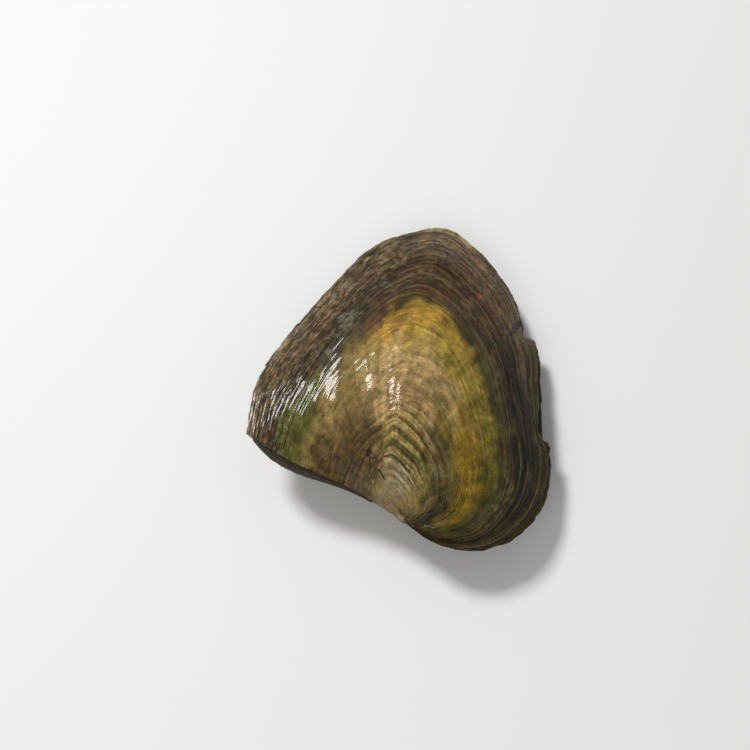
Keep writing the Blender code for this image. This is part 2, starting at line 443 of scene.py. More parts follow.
def valve_skin(seed, overhang, blemishes):
    """The points of a valve's skin with their relief, and for each what its material needs."""
    points, place, age, along = growth_surface(OUTSIDE_GRID)
    normal, outward = surface_frame(points)
    proud, wandering, worn, edges = valve_relief(place, age, seed)
    marked, depth = marks(place, wandering, blemishes)
    proud -= depth
    to_front = np.linalg.norm(points - points[:, :1], axis=2)
    to_back = np.linalg.norm(points - points[:, -1:], axis=2)
    free = ease(to_front / 3) * ease(to_back / 2) * falling(age, 1, 0.008)
    room = np.maximum(points[..., 2], 0)
    worn_tip = WORN_TIP * falling(age, 0.17, 0.15) * ease(room / 4)
    proud = np.maximum(proud * free - worn_tip, -DEEPEST * room)
    points = points + normal * proud[..., None]
    edge = ragged_margin(along, seed + 80) + overhang * between(place[-1], *OVERHANG_PLACES)
    reach = rising(age, 0.955, 0.045) * edge * ease(to_front / 3) * ease(to_back / 3)
    points = points + outward * reach[..., None]
    points[..., 2] = np.maximum(points[..., 2], 0) + RIM_GAP / 2
    fields = {
        "age": (wandering, 0, 1),
        "place": (place, RIDGE, RIDGE),
        "worn": (worn, 1, 0),
        "marked": (marked, 0, 0),
        "edges": (edges, 0, 0),
        # painted light on crests and painted shade in grooves, for the skin's colour
        "crest": (crest_shading(proud), 0, 0),
    }
    return points, fields


# --- meshes ---

# The hollow is a valve, shrunk about its middle and sunk past the seam.
CAVITY_GRID = (70, 24)
CAVITY_MIDDLE = (-16.0, 44.0)
CAVITY_SPREAD = 0.925
CAVITY_RISE = 0.91
WALL_MIN = 1.4
BEAK_SHARE = 0.2  # the beak closes this far out, of the youngest growth line

LIE = Euler((math.radians(-6.3), math.radians(3.4), math.radians(-29.4)))  # how the seam plane lies
BEND_HEIGHT = 0.7  # how far the rims leave the seam plane, both ways
BEND_LENGTH = 17
SCUFF_HEIGHT = 0.5 * MM  # the skin is scuffed where it is nearer than this to the table


def add_object(name, data):
    made = bpy.data.objects.new(name, data)
    bpy.context.scene.collection.objects.link(made)
    return made


def write_attribute(mesh, name, values):
    attribute = mesh.attributes.new(name, "FLOAT", "POINT")
    attribute.data.foreach_set("value", np.asarray(values, np.float32))


def closed_cup(name, points, side):
    """A mesh of one side of the shell, from the beak to the rim and closed on the seam plane."""
    rows, columns = points.shape[:2]
    beak = points[0].mean(axis=0) * BEAK_SHARE
    beak[2] = points[0, [0, -1], 2].mean()
    middle = (*CAVITY_MIDDLE, points[-1, :, 2].mean())
    vertices = np.vstack([points.reshape(-1, 3), beak, middle])
    beak_index = rows * columns
    middle_index = beak_index + 1
    index = np.arange(rows * columns).reshape(rows, columns)
    quads = np.stack([index[:-1, :-1], index[1:, :-1], index[1:, 1:], index[:-1, 1:]], axis=-1)
    faces = quads.reshape(-1, 4).tolist()
    first = index[0]
    faces += [(beak_index, first[k], first[k + 1]) for k in range(columns - 1)]
    sides = (index[:, 0], index[-1, 1:], index[::-1, -1][1:])
    border = np.concatenate([[beak_index], *sides, [beak_index]])
    faces += [(border[k], middle_index, border[k + 1]) for k in range(len(border) - 1)]
    vertices[:, 2] *= side
    mesh = bpy.data.meshes.new(name)
    mesh.from_pydata(vertices * MM, [], [tuple(int(v) for v in face) for face in faces])
    if side < 0:
        mesh.flip_normals()
    return mesh


def cavity_matrix(side):
    """Shrinks a valve about its middle and sinks it past the seam."""
    middle = Vector((*CAVITY_MIDDLE, 0)) * MM
    shrink = Matrix.Diagonal((CAVITY_SPREAD, CAVITY_SPREAD, CAVITY_RISE, 1))
    sink = Matrix.Translation((0, 0, -side * WALL_MIN * MM))
    return sink @ Matrix.Translation(middle) @ shrink @ Matrix.Translation(-middle)


def seam_matrix():
    """From the seam plane to the frame. The solid's box says where the beak is."""
    turn = LIE.to_matrix()
    points = growth_surface(SOLID_GRID)[0].reshape(-1, 3) * MM
    points[:, 2] += SOLID_RIM_GAP / 2 * MM
    highest = (points @ np.array(turn).T).max(axis=0)
    beak = Vector(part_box("upper_valve")[1]) - Vector(highest)
    return Matrix.Translation(beak) @ turn.to_4x4()


def lay_down(mesh):
    """Bends a mesh on the seam plane a little, as the real rim bends, and puts it on the table."""
    flat = np.empty(len(mesh.vertices) * 3, np.float32)
    mesh.vertices.foreach_get("co", flat)
    points = flat.reshape(-1, 3).astype(float) / MM
    from_middle = np.hypot(points[:, 0] - CAVITY_MIDDLE[0], points[:, 1] - CAVITY_MIDDLE[1])
    x, y = (points[:, k] / BEND_LENGTH + 40 for k in range(2))
    points[:, 2] += BEND_HEIGHT * rising(from_middle, 18, 30) * soft_noise(x, y, 5)
    matrix = np.array(seam_matrix())
    points = points * MM @ matrix[:3, :3].T + matrix[:3, 3]
    points[:, 2] = np.maximum(points[:, 2], 0)
    mesh.vertices.foreach_set("co", points.astype(np.float32).ravel())
    mesh.update()


def split_large_faces(mesh):
    """Cuts the faces that the cavity left with many corners into triangles, and drops tiny faces."""
    made = bmesh.new()
    made.from_mesh(mesh)
    bmesh.ops.triangulate(made, faces=[face for face in made.faces if len(face.verts) > 4])
    bmesh.ops.dissolve_degenerate(made, dist=SMALLEST_EDGE * MM, edges=made.edges)
    bmesh.ops.triangulate(made, faces=[face for face in made.faces if len(face.verts) > 4])
    made.to_mesh(mesh)
    made.free()


def cut_cavity(valve, side):
    """Takes the hollow out of a valve, with the second of its materials on the inside."""
    hollow = closed_cup(f"{valve.name}_cavity", growth_surface(CAVITY_GRID)[0], side)
    hollow.transform(cavity_matrix(side))
    for material in valve.data.materials:
        hollow.materials.append(material)
    hollow.polygons.foreach_set("material_index", [1] * len(hollow.polygons))
    hollow.shade_smooth()
    cutter = add_object(f"{valve.name}_cavity", hollow)
    cut = valve.modifiers.new("cavity", "BOOLEAN")
    cut.operation = "DIFFERENCE"
    cut.solver = "MANIFOLD"
    cut.object = cutter
    bpy.context.view_layer.update()
    shaped = bpy.data.meshes.new_from_object(valve.evaluated_get(bpy.context.evaluated_depsgraph_get()))
    valve.modifiers.clear()
    valve.data = shaped
    bpy.data.objects.remove(cutter)
    split_large_faces(shaped)


def add_valve(name, side, seed, overhang, blemishes, skin, nacre):
    """One valve. overhang says how far its rim reaches past the plain margin at the front."""
    points, fields = valve_skin(seed, overhang, blemishes)
    mesh = closed_cup(name, points, side)
    for field, (values, at_beak, at_middle) in fields.items():
        write_attribute(mesh, field, np.append(values, [at_beak, at_middle]))
    mesh.materials.append(skin)
    mesh.materials.append(nacre)
    mesh.shade_smooth()
    valve = add_object(name, mesh)
    cut_cavity(valve, side)
    lay_down(valve.data)
    scuffed = [ease(1 - vertex.co.z / SCUFF_HEIGHT) for vertex in valve.data.vertices]
    write_attribute(valve.data, "scuffed", scuffed)
    valve.data.set_sharp_from_angle(angle=SHARP_EDGE)
    return valve


# --- the ligament ---

BAND_GRID = (40, 150)
BAND_PLACES = 60  # steps round the margin
BAND_AGES = (0.16, 0.95)  # of the shell, at its front and back end
BAND_LENGTH = 55
BAND_RADIUS = 1.35
BAND_TIP_RADIUS = 0.3
BAND_SKEW = 1.7
BAND_WIDTH = 1.05  # times its radius, square to the hinge
BAND_HEIGHT = 1.1
BAND_REACH = 0.45  # how deep it sits between the valves
# Its relief, as shares of its radius. The fibres: bumps to a radius, their length, and a seed.
FIBRES = ((0.09, 5, 9, 401), (0.05, 11, 5, 402))
SCALLOPS = 0.10
CROSS_RINGS = 0.025


def ligament_relief(turn, down):
    """How much thicker the band is at each turn round it and share of its length."""
    millimetres = down * BAND_LENGTH
    relief = 1
    for height, across, length, seed in FIBRES:
        x = np.cos(turn) * across + 9
        y = np.sin(turn) * across + millimetres / length
        relief = relief + height * soft_noise(x, y, seed)
    relief += SCALLOPS * soft_noise(millimetres / 2.6, turn * 0.5, 404)
    drift = 2 * soft_noise(millimetres / 4, turn * 0, 403)
    return relief + CROSS_RINGS * np.sin(millimetres * 5.2 + drift)


def closed_rod(name, vertices, ends):
    """A mesh through rings of vertices, closed by a point at each end."""
    rings, around = vertices.shape[:2]
    index = np.arange(around * rings).reshape(rings, around)
    following = np.roll(index, -1, axis=1)
    quads = np.stack([index[:-1], following[:-1], following[1:], index[1:]], axis=-1)
    faces = quads.reshape(-1, 4).tolist()
    front, back = around * rings, around * rings + 1
    faces += [(front, int(following[0, k]), int(index[0, k])) for k in range(around)]
    faces += [(back, int(index[-1, k]), int(following[-1, k])) for k in range(around)]
    mesh = bpy.data.meshes.new(name)
    mesh.from_pydata(np.vstack([vertices.reshape(-1, 3), ends]) * MM, [], faces)
    return mesh


def add_ligament(material):
    """The band outside the hinge edge: a rod of fibres, pressed in between the two valves."""
    around, rings = BAND_GRID
    share = np.linspace(0, 1, rings)
    places, along = margin_places(BAND_PLACES)
    first, last = BAND_AGES
    edge = np.array([growth_line(first + (last - first) * k, places, along)[-1] for k in share])
    swell = np.sin(math.pi * share**BAND_SKEW)
    radius = BAND_TIP_RADIUS + (BAND_RADIUS - BAND_TIP_RADIUS) * swell
    turn, down = np.meshgrid(np.linspace(0, 2 * math.pi, around, endpoint=False), share)
    size = radius[:, None] * ligament_relief(turn, down)
    middle = edge[:, 1][:, None] - radius[:, None] * BAND_WIDTH + BAND_REACH * 0.5
    x = edge[:, 0][:, None] + 0 * turn
    y = middle + np.sin(turn) * size * BAND_WIDTH
    z = np.cos(turn) * size * BAND_HEIGHT
    ends = [(edge[k, 0], edge[k, 1] - radius[k], 0) for k in (0, -1)]
    mesh = closed_rod("ligament_band", np.stack([x, y, z], axis=-1), ends)
    write_attribute(mesh, "turn", np.append(turn, [0, 0]))
    write_attribute(mesh, "down", np.append(down, [0, 1]))
    mesh.materials.append(material)
    mesh.shade_smooth()
    lay_down(mesh)
    return add_object("ligament_band", mesh)


# --- nodes ---

MOST_NOISE = (0.3, 0.7)  # noise from a node is nearly always between these


def pigment(colour):
    """An sRGB colour from 0 to 255 as the linear one that a shader takes."""
    return (*(((part / 255 + 0.055) / 1.055) ** 2.4 for part in colour), 1)


class Nodes:
    """A node tree, with short ways to add nodes to it."""

    def __init__(self, tree):
        self.tree = tree

    def node(self, kind, inputs, **settings):
        made = self.tree.nodes.new(f"ShaderNode{kind}")
        for setting, value in settings.items():
            setattr(made, setting, value)
        for socket, value in inputs.items():
            self.set(made, socket, value)
        return made

    def set(self, made, socket, value):
        if isinstance(value, bpy.types.NodeSocket):
            self.tree.links.new(value, made.inputs[socket])
        else:
            made.inputs[socket].default_value = value

    def chain(self, operation, values):
        total = values[0]
        for value in values[1:]:
            total = self.node("Math", {0: total, 1: value}, operation=operation).outputs[0]
        return total

    def times(self, *values):
        return self.chain("MULTIPLY", values)

    def plus(self, *values):
        return self.chain("ADD", values)

    def rise(self, value, low, high, to_low=0, to_high=1):
        """Goes smoothly from to_low to to_high as value goes from low to high."""
        inputs = {"Value": value, "From Min": low, "From Max": high, "To Min": to_low, "To Max": to_high}
        return self.node("MapRange", inputs, interpolation_type="SMOOTHSTEP").outputs["Result"]

    def swing(self, value, low, high):
        """Goes smoothly from -1 to 1 as value goes from low to high."""
        return self.rise(value, low, high, -1, 1)

    def attribute(self, name):
        return self.node("Attribute", {}, attribute_name=name).outputs["Fac"]

    def noise(self, vector, scale, detail=2, roughness=0.5):
        inputs = {"Vector": vector, "Scale": scale, "Detail": detail, "Roughness": roughness}
        return self.node("TexNoise", inputs).outputs["Fac"]

    def vector(self, x, y, z):
        return self.node("CombineXYZ", {"X": x, "Y": y, "Z": z}).outputs["Vector"]

    def body(self):
        """Where a point is in its piece, in metres."""
        return self.node("TexCoord", {}).outputs["Object"]

    def seen(self):
        """1 for what the camera sees, straight, in a gloss or through glass."""
        path = self.node("LightPath", {})
        rays = ("Camera", "Glossy", "Transmission")
        return self.chain("MAXIMUM", [path.outputs[f"Is {ray} Ray"] for ray in rays])


class Shade(Nodes):
    """A material, with ways to colour it."""

    def __init__(self, name):
        self.material = bpy.data.materials.new(name)
        self.material.use_nodes = True
        super().__init__(self.material.node_tree)
        self.shader = self.tree.nodes["Principled BSDF"]

    def zones(self, value, stops):
        """Goes through the pigments of the stops as value reaches each of them."""
        made = self.node("ValToRGB", {"Fac": value})
        elements = made.color_ramp.elements
        elements[0].position, elements[1].position = stops[0][0], stops[-1][0]
        elements[0].color, elements[1].color = pigment(stops[0][1]), pigment(stops[-1][1])
        for position, colour in stops[1:-1]:
            elements.new(position).color = pigment(colour)
        return made.outputs["Color"]

    def mix(self, share, first, second):
        return self.node("Mix", {0: share, 6: first, 7: second}, data_type="RGBA").outputs[2]

    def cover(self, colour, tint, *shares):
        """Lays a pigment over the colour, as strongly as the shares' product."""
        return self.mix(self.times(*shares), colour, pigment(tint))

    def dim(self, colour, share):
        """The colour times a number."""
        return self.node("VectorMath", {0: colour, "Scale": share}, operation="SCALE").outputs[0]

    def vary(self, tone, *shares):
        """The tone times 1 plus the shares' product, which goes to both sides of 0."""
        return self.times(tone, self.plus(1, self.times(*shares)))

    def bump(self, height, distance):
        return self.node("Bump", {"Height": height, "Distance": distance}).outputs["Normal"]

    def surface(self, colour, roughness, normal, **values):
        """Wires up the shader, and gives the rest of its sockets one value all over."""
        self.gloss(Base_Color=colour, Roughness=roughness, Normal=normal, **values)
        return self.material

    def gloss(self, **values):
        for socket, value in values.items():
            self.set(self.shader, socket.replace("_", " "), value)


# --- the skin ---

# Pigments, as sRGB from 0 to 255.
WORN_TAN = (134, 114, 76)
WORN_GREY = (132, 124, 94)
# a painted highlight along the lip of the worn edge
LIP_HIGHLIGHT = (178, 164, 126)
STAIN = (146, 104, 56)
YOUNG = (132, 114, 62)
UMBER = (76, 62, 33)
OCHRE = (118, 98, 56)
OLIVE = (98, 84, 42)
GREY_OLIVE = (96, 90, 60)
MOSS = (80, 84, 28)
PINKISH_TAN = (154, 126, 82)
PALE_TAN = (174, 146, 92)
BRONZE = (124, 100, 30)
GOLD = (146, 118, 26)
BRIGHT_GOLD = (158, 124, 46)
OLIVE_GOLD = (142, 124, 50)
DARK_GOLD = (92, 80, 16)
WING_OLIVE = (134, 116, 64)
RUST = (108, 72, 42)
DARK_OLIVE = (64, 56, 22)
BROWN = (68, 51, 27)
OLIVE_BROWN = (78, 66, 34)
GREY_BROWN = (84, 70, 48)
DARK_BROWN = (36, 30, 17)
NEAR_BLACK = (17, 13, 8)
GREY_TAN = (134, 120, 94)
PALE_BROWN = (104, 86, 56)
RED_BROWN = (88, 54, 34)
SLATE = (70, 72, 60)
LAYER_EDGE = (122, 106, 74)
SMOKE = (136, 126, 108)
LEAF = (92, 98, 34)
FRINGE = (172, 160, 104)

# Zones of colour by age: down the belly, along the back before the ridge, and on the wing.
BELLY_ZONES = (
    (0, OLIVE), (0.1, YOUNG), (0.24, YOUNG), (0.3, UMBER), (0.38, OLIVE), (0.44, BRONZE),
    (0.51, GOLD), (0.56, BRONZE), (0.615, DARK_GOLD), (0.68, DARK_OLIVE), (0.765, OLIVE_BROWN),
    (0.8, DARK_BROWN), (0.86, NEAR_BLACK), (0.91, DARK_BROWN), (1, DARK_OLIVE),
)
BACK_ZONES = (
    (0, WORN_TAN), (0.17, WORN_TAN), (0.192, OLIVE), (0.235, YOUNG), (0.3, YOUNG),
    (0.39, PINKISH_TAN), (0.54, PALE_TAN), (0.6, BRIGHT_GOLD), (0.66, BRIGHT_GOLD),
    (0.7, DARK_OLIVE), (0.745, BROWN), (0.865, BROWN), (0.91, PALE_BROWN), (1, GREY_BROWN),
)
WING_ZONES = (
    (0, WORN_TAN), (0.15, WORN_TAN), (0.18, UMBER), (0.36, UMBER), (0.49, OCHRE),
    (0.56, WING_OLIVE), (0.62, WING_OLIVE), (0.66, OLIVE), (0.7, OLIVE_BROWN), (0.8, BROWN),
    (0.9, GREY_BROWN), (0.96, PALE_BROWN), (1, GREY_TAN),
)

# Patches: places from and to, ages from and to, how soft their edges are in both, strength, colour.
PATCHES = (
    (15.5, 18, 0.26, 0.6, 0.7, 0.05, 0.75, BROWN),
    (14.7, 18, 0.65, 0.8, 0.6, 0.03, 0.85, LEAF),
    (4.2, 9.2, 0.57, 0.68, 0.8, 0.03, 0.8, OLIVE_GOLD),
    (10, 11.1, 0.62, 0.695, 0.4, 0.015, 0.8, BRIGHT_GOLD),
    (-1, 2.6, 0.28, 0.52, 1, 0.07, 0.8, DARK_BROWN),
    # painted shade: the front strip by the hinge, darkened as if in shadow
    (-1, 1.4, 0.1, 1.1, 0.8, 0.05, 0.75, DARK_BROWN),
    (0.5, 4, -0.1, 0.19, 1, 0.03, 0.45, UMBER),
    # painted shade under the beak at the front end
    (-1, 1.2, -0.1, 0.6, 0.8, 0.05, 0.65, NEAR_BLACK),
    (-1, 1.2, 0.93, 1.1, 0.6, 0.03, 0.6, NEAR_BLACK),
    (-1, 2.6, 0.74, 1.1, 0.6, 0.03, 0.75, DARK_OLIVE),
    (2.5, 4.6, 0.745, 0.76, 1, 0.008, 0.5, OCHRE),
    (10.9, 11.8, 0.685, 0.75, 0.35, 0.015, 0.7, RED_BROWN),
    (12.2, 13.9, 0.71, 0.8, 0.4, 0.015, 0.65, SLATE),
    (11.4, 12.8, 0.79, 0.86, 0.4, 0.02, 0.5, DARK_BROWN),
    (11.9, 13.1, 0.935, 0.975, 0.4, 0.012, 0.35, GREY_TAN),
    (8, 9, 0.83, 0.96, 0.4, 0.02, 0.55, RED_BROWN),
    (13.3, 14.5, 0.885, 0.93, 0.35, 0.015, 0.65, RUST),
)

# Streaks that run with the growth: how many to a unit of place and of age, a shift that sets them
# apart from the others, detail and roughness.
STREAKS = {
    "zone ages": (0.8, 7, 3.1, 3, 0.55),
    "zone places": (0.5, 14, 8.3, 3, 0.55),
    "patches": (2.2, 26, 61, 3, 0.6),
    "grey": (0.6, 12, 33, 3, 0.55),
    "green": (0.9, 14, 21, 3, 0.55),
    "rust": (1.3, 40, 5.7, 4, 0.65),
    "broad": (0.35, 62, 1.3, 4, 0.65),
    "middle": (0.8, 140, 6.6, 4, 0.65),
    "fine": (1.6, 300, 11.9, 2, 0.55),
    "blotches": (2.3, 17, 71, 3, 0.6),
    "mottles": (2.6, 4, 88, 2, 0.55),
    "flakes": (4.5, 80, 52, 3, 0.65),
    "pale": (0.8, 200, 17, 3, 0.6),
    "bands": (0.3, 48, 94, 4, 0.68),
    "breaks": (1.2, 30, 97, 3, 0.55),
    "dark": (0.9, 100, 27, 4, 0.7),
    "furrows": (1.7, 62, 43, 4, 0.6),
    "bare": (0.9, 40, 2.2, 3, 0.55),
}
# Grain, which runs no way: bumps to a metre, detail and roughness.
GRAINS = {
    "swirls": (110, 3, 0.5),
    "blotches": (130, 4, 0.6),
    "patches": (210, 3, 0.6),
    "stains": (210, 4, 0.65),
    "smoke": (260, 4, 0.65),
    "mottles": (330, 3, 0.6),
    "bare": (480, 4, 0.7),
    "scuffs": (500, 3, 0.6),
    "flecks": (620, 3, 0.6),
    "surface": (900, 2, 0.5),
    "specks": (1100, 1, 0.5),
}

OUTER_AGES = (0.7, 0.8)  # from where the outer zone begins to where it is full
BACK_TO_WING = (10.6, 12.6)  # places between which the colours of the two blend
WING_PLACES = (9.5, 12)  # places between which the wing's own marks come in
SKIN_BUMP = 0.0004  # metres


class Skin(Shade):
    """The skin's material, with the values that several of its parts share."""

    def __init__(self):
        super().__init__("shell_skin")
        # crest is painted light on crests and painted shade in grooves
        names = ("age", "place", "worn", "crest")
        self.age, self.place, self.worn, self.crest = (self.attribute(name) for name in names)
        self.where = self.body()
        self.outer = self.rise(self.age, *OUTER_AGES)
        self.broad = self.streaks("broad")
        self.middle = self.streaks("middle")
        self.fine = self.streaks("fine")
        self.flakes = self.swing(self.streaks("flakes"), 0.34, 0.66)
        self.blotches = self.grain("blotches")
        self.calm = self.calmer_growth()
        wander = self.rise(self.streaks("zone ages"), *MOST_NOISE, -0.03, 0.03)
        self.zone_age = self.plus(self.age, wander)
        wander = self.rise(self.streaks("zone places"), *MOST_NOISE, -0.9, 0.9)
        self.zone_place = self.plus(self.place, wander)

    def streaks(self, name, swirl=None):
        """Noise from STREAKS, from 0 to 1. A swirl pushes its streaks to and fro."""
        across, out, shift, detail, roughness = STREAKS[name]
        outward = self.times(self.age, out)
        if swirl is not None:
            outward = self.plus(outward, swirl)
        where = self.vector(self.times(self.place, across), outward, shift)
        return self.noise(where, 1, detail, roughness)

    def grain(self, name):
        """Noise from GRAINS, from 0 to 1."""
        return self.noise(self.where, *GRAINS[name])

    def calmer_growth(self):
        """1, and less in the middle of the growth, and again less on the young belly."""
        middle = self.times(self.rise(self.age, 0.32, 0.44), self.rise(self.age, 0.74, 0.69), -0.55)
        young = self.rise(self.age, 0.4, 0.32), self.rise(self.place, 8, 6)
        return self.vary(self.plus(1, middle), *young, -0.4)


def zone_colour(s):
    """Zones of colour, whose borders wander, and patches on them; two dark patches at the front end are
    painted shade.
    """
    belly = s.zones(s.zone_age, BELLY_ZONES)
    back = s.zones(s.zone_age, BACK_ZONES)
    wing = s.zones(s.zone_age, WING_ZONES)
    colour = s.mix(s.rise(s.zone_place, 5.6, 8), belly, back)
    colour = s.mix(s.rise(s.zone_place, *BACK_TO_WING), colour, wing)
    mottled = s.rise(s.plus(s.streaks("patches"), s.grain("patches")), 0.82, 1.18, 0.45, 1.15)
    for low, high, start, end, side_fade, age_fade, share, tint in PATCHES:
        patch = s.times(
            s.rise(s.zone_place, low - side_fade, low + side_fade),
            s.rise(s.zone_place, high + side_fade, high - side_fade),
            s.rise(s.zone_age, start - age_fade, start + age_fade),
            s.rise(s.zone_age, end + age_fade, end - age_fade),
        )
        colour = s.cover(colour, tint, patch, mottled, share)
    return colour


def tint_streaks(s, colour):
    """Streaks of grey over the young skin, of green down the belly, and of rust along the back."""
    ages = s.rise(s.age, 0.26, 0.3), s.rise(s.age, 0.44, 0.36)
    places = s.rise(s.place, 2.5, 4.5), s.rise(s.place, 8.5, 6.5)
    colour = s.cover(colour, GREY_OLIVE, s.rise(s.streaks("grey"), 0.42, 0.58), *ages, *places, 0.7)
    belly = s.rise(s.age, 0.8, 0.7), s.rise(s.place, 9.5, 7.5)
    colour = s.cover(colour, MOSS, s.rise(s.streaks("green"), 0.5, 0.64), *belly, 0.5)
    back = s.rise(s.place, 6.5, 9, 0.15, 1)
    return s.cover(colour, RUST, s.rise(s.streaks("rust"), 0.52, 0.66), back, 0.5)


def growth_tone(s):
    """How light the skin is: growth lines of three sizes, mottles that run across them, and painted
    light on crests and painted shade in grooves.
    """
    broad_share = s.plus(0.4, s.times(s.rise(s.age, 0.12, 0.25), 0.8), s.times(s.outer, 0.8))
    tone = s.plus(1, s.times(s.plus(s.broad, -0.5), s.calm, broad_share))
    wing_share = s.times(s.outer, s.rise(s.place, *WING_PLACES, 0.08, 0.2))
    middle_share = s.times(s.calm, s.plus(0.27, wing_share))
    tone = s.vary(tone, s.swing(s.middle, 0.36, 0.64), middle_share)
    fine_share = s.plus(s.times(s.calm, 0.18), s.times(s.outer, 0.14))
    tone = s.vary(tone, s.swing(s.fine, 0.32, 0.68), fine_share)
    # painted highlight on the crests and painted shade in the grooves, strongest on the folds by the
    # beak
    folded = s.times(s.rise(s.age, 0.16, 0.2), s.rise(s.age, 0.36, 0.28))
    tone = s.vary(tone, s.crest, s.calm, s.plus(0.38, s.times(s.outer, -0.08), s.times(folded, 0.2)))
    blotches = s.plus(s.blotches, s.streaks("blotches"), -1)
    tone = s.times(tone, s.rise(blotches, -0.35, 0.35, 0.68, 1.32))
    mottles = s.plus(s.grain("mottles"), s.streaks("mottles"), -1)
    tone = s.times(tone, s.rise(mottles, -0.3, 0.3, 0.72, 1.28))
    tone = s.vary(tone, s.flakes, s.plus(0.1, s.times(s.outer, 0.2)))
    flecks = s.swing(s.grain("flecks"), 0.38, 0.62)
    return s.vary(tone, flecks, s.plus(0.1, s.times(s.outer, 0.24)))


def outer_layers(s, colour):
    """The outer zone's pale lines and dark gaps, the layers' edges, and the fringe of the rim."""
    pale = s.times(s.rise(s.streaks("pale"), 0.54, 0.64), s.outer, s.rise(s.age, 0.86, 0.92, 0.5, 1))
    colour = s.cover(colour, GREY_TAN, pale, s.rise(s.place, 4.5, 7.5, 0.25, 0.45))
    bands = s.streaks("bands")
    front = s.times(s.outer, s.rise(s.place, 7, 4.5))
    broken = s.rise(s.streaks("breaks"), 0.38, 0.58, 0.25, 1)
    colour = s.cover(colour, LAYER_EDGE, s.rise(bands, 0.555, 0.6), broken, front, 0.45)
    colour = s.cover(colour, NEAR_BLACK, s.rise(bands, 0.5, 0.44), front, 0.6)
    smoky = s.rise(s.grain("smoke"), 0.5, 0.64)
    colour = s.cover(colour, SMOKE, smoky, s.outer, s.rise(s.place, *WING_PLACES), 0.5)
    dark = s.rise(s.streaks("dark"), 0.54, 0.61)
    colour = s.cover(colour, DARK_BROWN, dark, s.plus(0.3, s.times(s.outer, 0.2)), s.calm)
    edges = s.attribute("edges")
    colour = s.cover(colour, LAYER_EDGE, edges, s.rise(s.place, 3, 8, 0.6, 0.5))
    furrows = s.streaks("furrows", s.rise(s.grain("swirls"), *MOST_NOISE, -0.9, 0.9))
    wing = s.rise(s.place, 9.5, 11.5)
    colour = s.cover(colour, DARK_BROWN, s.rise(furrows, 0.51, 0.57), s.outer, wing, 0.68)
    ends = s.rise(s.place, 9, 9.5), s.rise(s.place, 10.8, 10.3)
    fringe = s.times(s.rise(s.age, 0.984, 0.989), *ends)
    colour = s.cover(colour, FRINGE, fringe, s.rise(s.flakes, -0.8, 0.4, 0.3, 1), 0.75)
    specks = s.rise(s.grain("specks"), 0.66, 0.72)
    return s.cover(colour, DARK_BROWN, specks, s.rise(s.age, 0.2, 0.3), 0.55)


def bare_shell(s):
    """The worn beak: dull bare shell, tan at the tip and greyer where the skin was lost last, with a
    painted highlight on the lip of its edge and painted light and shade on the crests and grooves of its
    steps.
    """
    greyer = s.times(s.rise(s.zone_age, 0.085, 0.115), s.rise(s.zone_age, 0.17, 0.14))
    greyer = s.times(greyer, s.rise(s.place, 6, 8))
    bare = s.mix(greyer, pigment(WORN_TAN), pigment(WORN_GREY))
    bare = s.cover(bare, OCHRE, s.rise(s.streaks("bare"), 0.45, 0.7, 0, 0.5))
    wing = s.rise(s.place, *BACK_TO_WING)
    bare = s.cover(bare, OLIVE, wing, s.rise(s.age, 0.11, 0.17), 0.8)
    # painted highlight along the lip at the crest of the worn edge
    lip = s.times(s.rise(s.age, 0.168, 0.175), s.rise(s.age, 0.186, 0.181))
    bare = s.cover(bare, LIP_HIGHLIGHT, lip, s.rise(s.place, 4.5, 7), s.rise(s.place, 10, 8.8), 0.7)
    stains = s.rise(s.grain("stains"), 0.5, 0.62)
    bare = s.cover(bare, STAIN, stains, s.rise(s.place, 5, 7), 0.45)
    # painted light on the steps' crests and painted shade in their grooves
    tone = s.plus(1, s.times(s.crest, 0.65))
    tone = s.times(tone, s.rise(s.blotches, *MOST_NOISE, 0.82, 1.18))
    tone = s.times(tone, s.plus(1, s.plus(s.middle, -0.5)))
    tone = s.times(tone, s.rise(s.grain("bare"), 0.35, 0.65, 0.78, 1.22))
    return s.dim(bare, tone)


def skin_material():
    """The skin of a valve: zones of colour, drawn out into fine growth lines."""
    s = Skin()
    colour = tint_streaks(s, zone_colour(s))
    colour = outer_layers(s, s.dim(colour, growth_tone(s)))
    colour = s.mix(s.times(s.worn, s.rise(s.place, 4, 7.5, 0.12, 0.9)), colour, bare_shell(s))
    # cracks and scars are dark, and the groove round the worn beak is painted near black as shade
    colour = s.cover(colour, NEAR_BLACK, s.attribute("marked"), 0.95)
    scuffed = s.times(s.attribute("scuffed"), s.rise(s.grain("scuffs"), 0.35, 0.6, 0.3, 1))
    colour = s.cover(colour, GREY_TAN, scuffed, 0.65)
    dull = s.times(s.worn, 0.26), s.times(s.outer, 0.07), s.times(scuffed, 0.3)
    rough = s.plus(0.22, s.times(s.broad, 0.16), *dull)
    height = s.plus(s.middle, s.times(s.fine, 0.5), s.times(s.grain("surface"), 0.25))
    coat = {"Specular_IOR_Level": 0.08, "Coat_Weight": 0.25, "Coat_Roughness": 0.07}
    return s.surface(colour, rough, s.bump(height, SKIN_BUMP), **coat)


# --- other materials ---

NACRE_ZONES = (
    (0.3, (214, 222, 212)), (0.45, (232, 226, 218)), (0.58, (228, 208, 208)), (0.7, (206, 212, 222)),
)
NACRE_CLOUDS = (196, 186, 160)
LIGAMENT_ZONES = ((0.25, (20, 15, 9)), (0.5, (42, 33, 20)), (0.75, (80, 64, 38)))


def nacre_material():
    """The lining: milky, with faint bands of pink and green."""
    s = Shade("nacre")
    where = s.body()
    colour = s.zones(s.noise(where, 38), NACRE_ZONES)
    colour = s.cover(colour, NACRE_CLOUDS, s.noise(where, 260, 3), 0.2)
    rough = s.rise(s.noise(where, 90), *MOST_NOISE, 0.2, 0.34)
    normal = s.bump(s.noise(where, 420, 3), 0.0001)
    return s.surface(colour, rough, normal, Coat_Weight=0.4, Coat_Roughness=0.1)


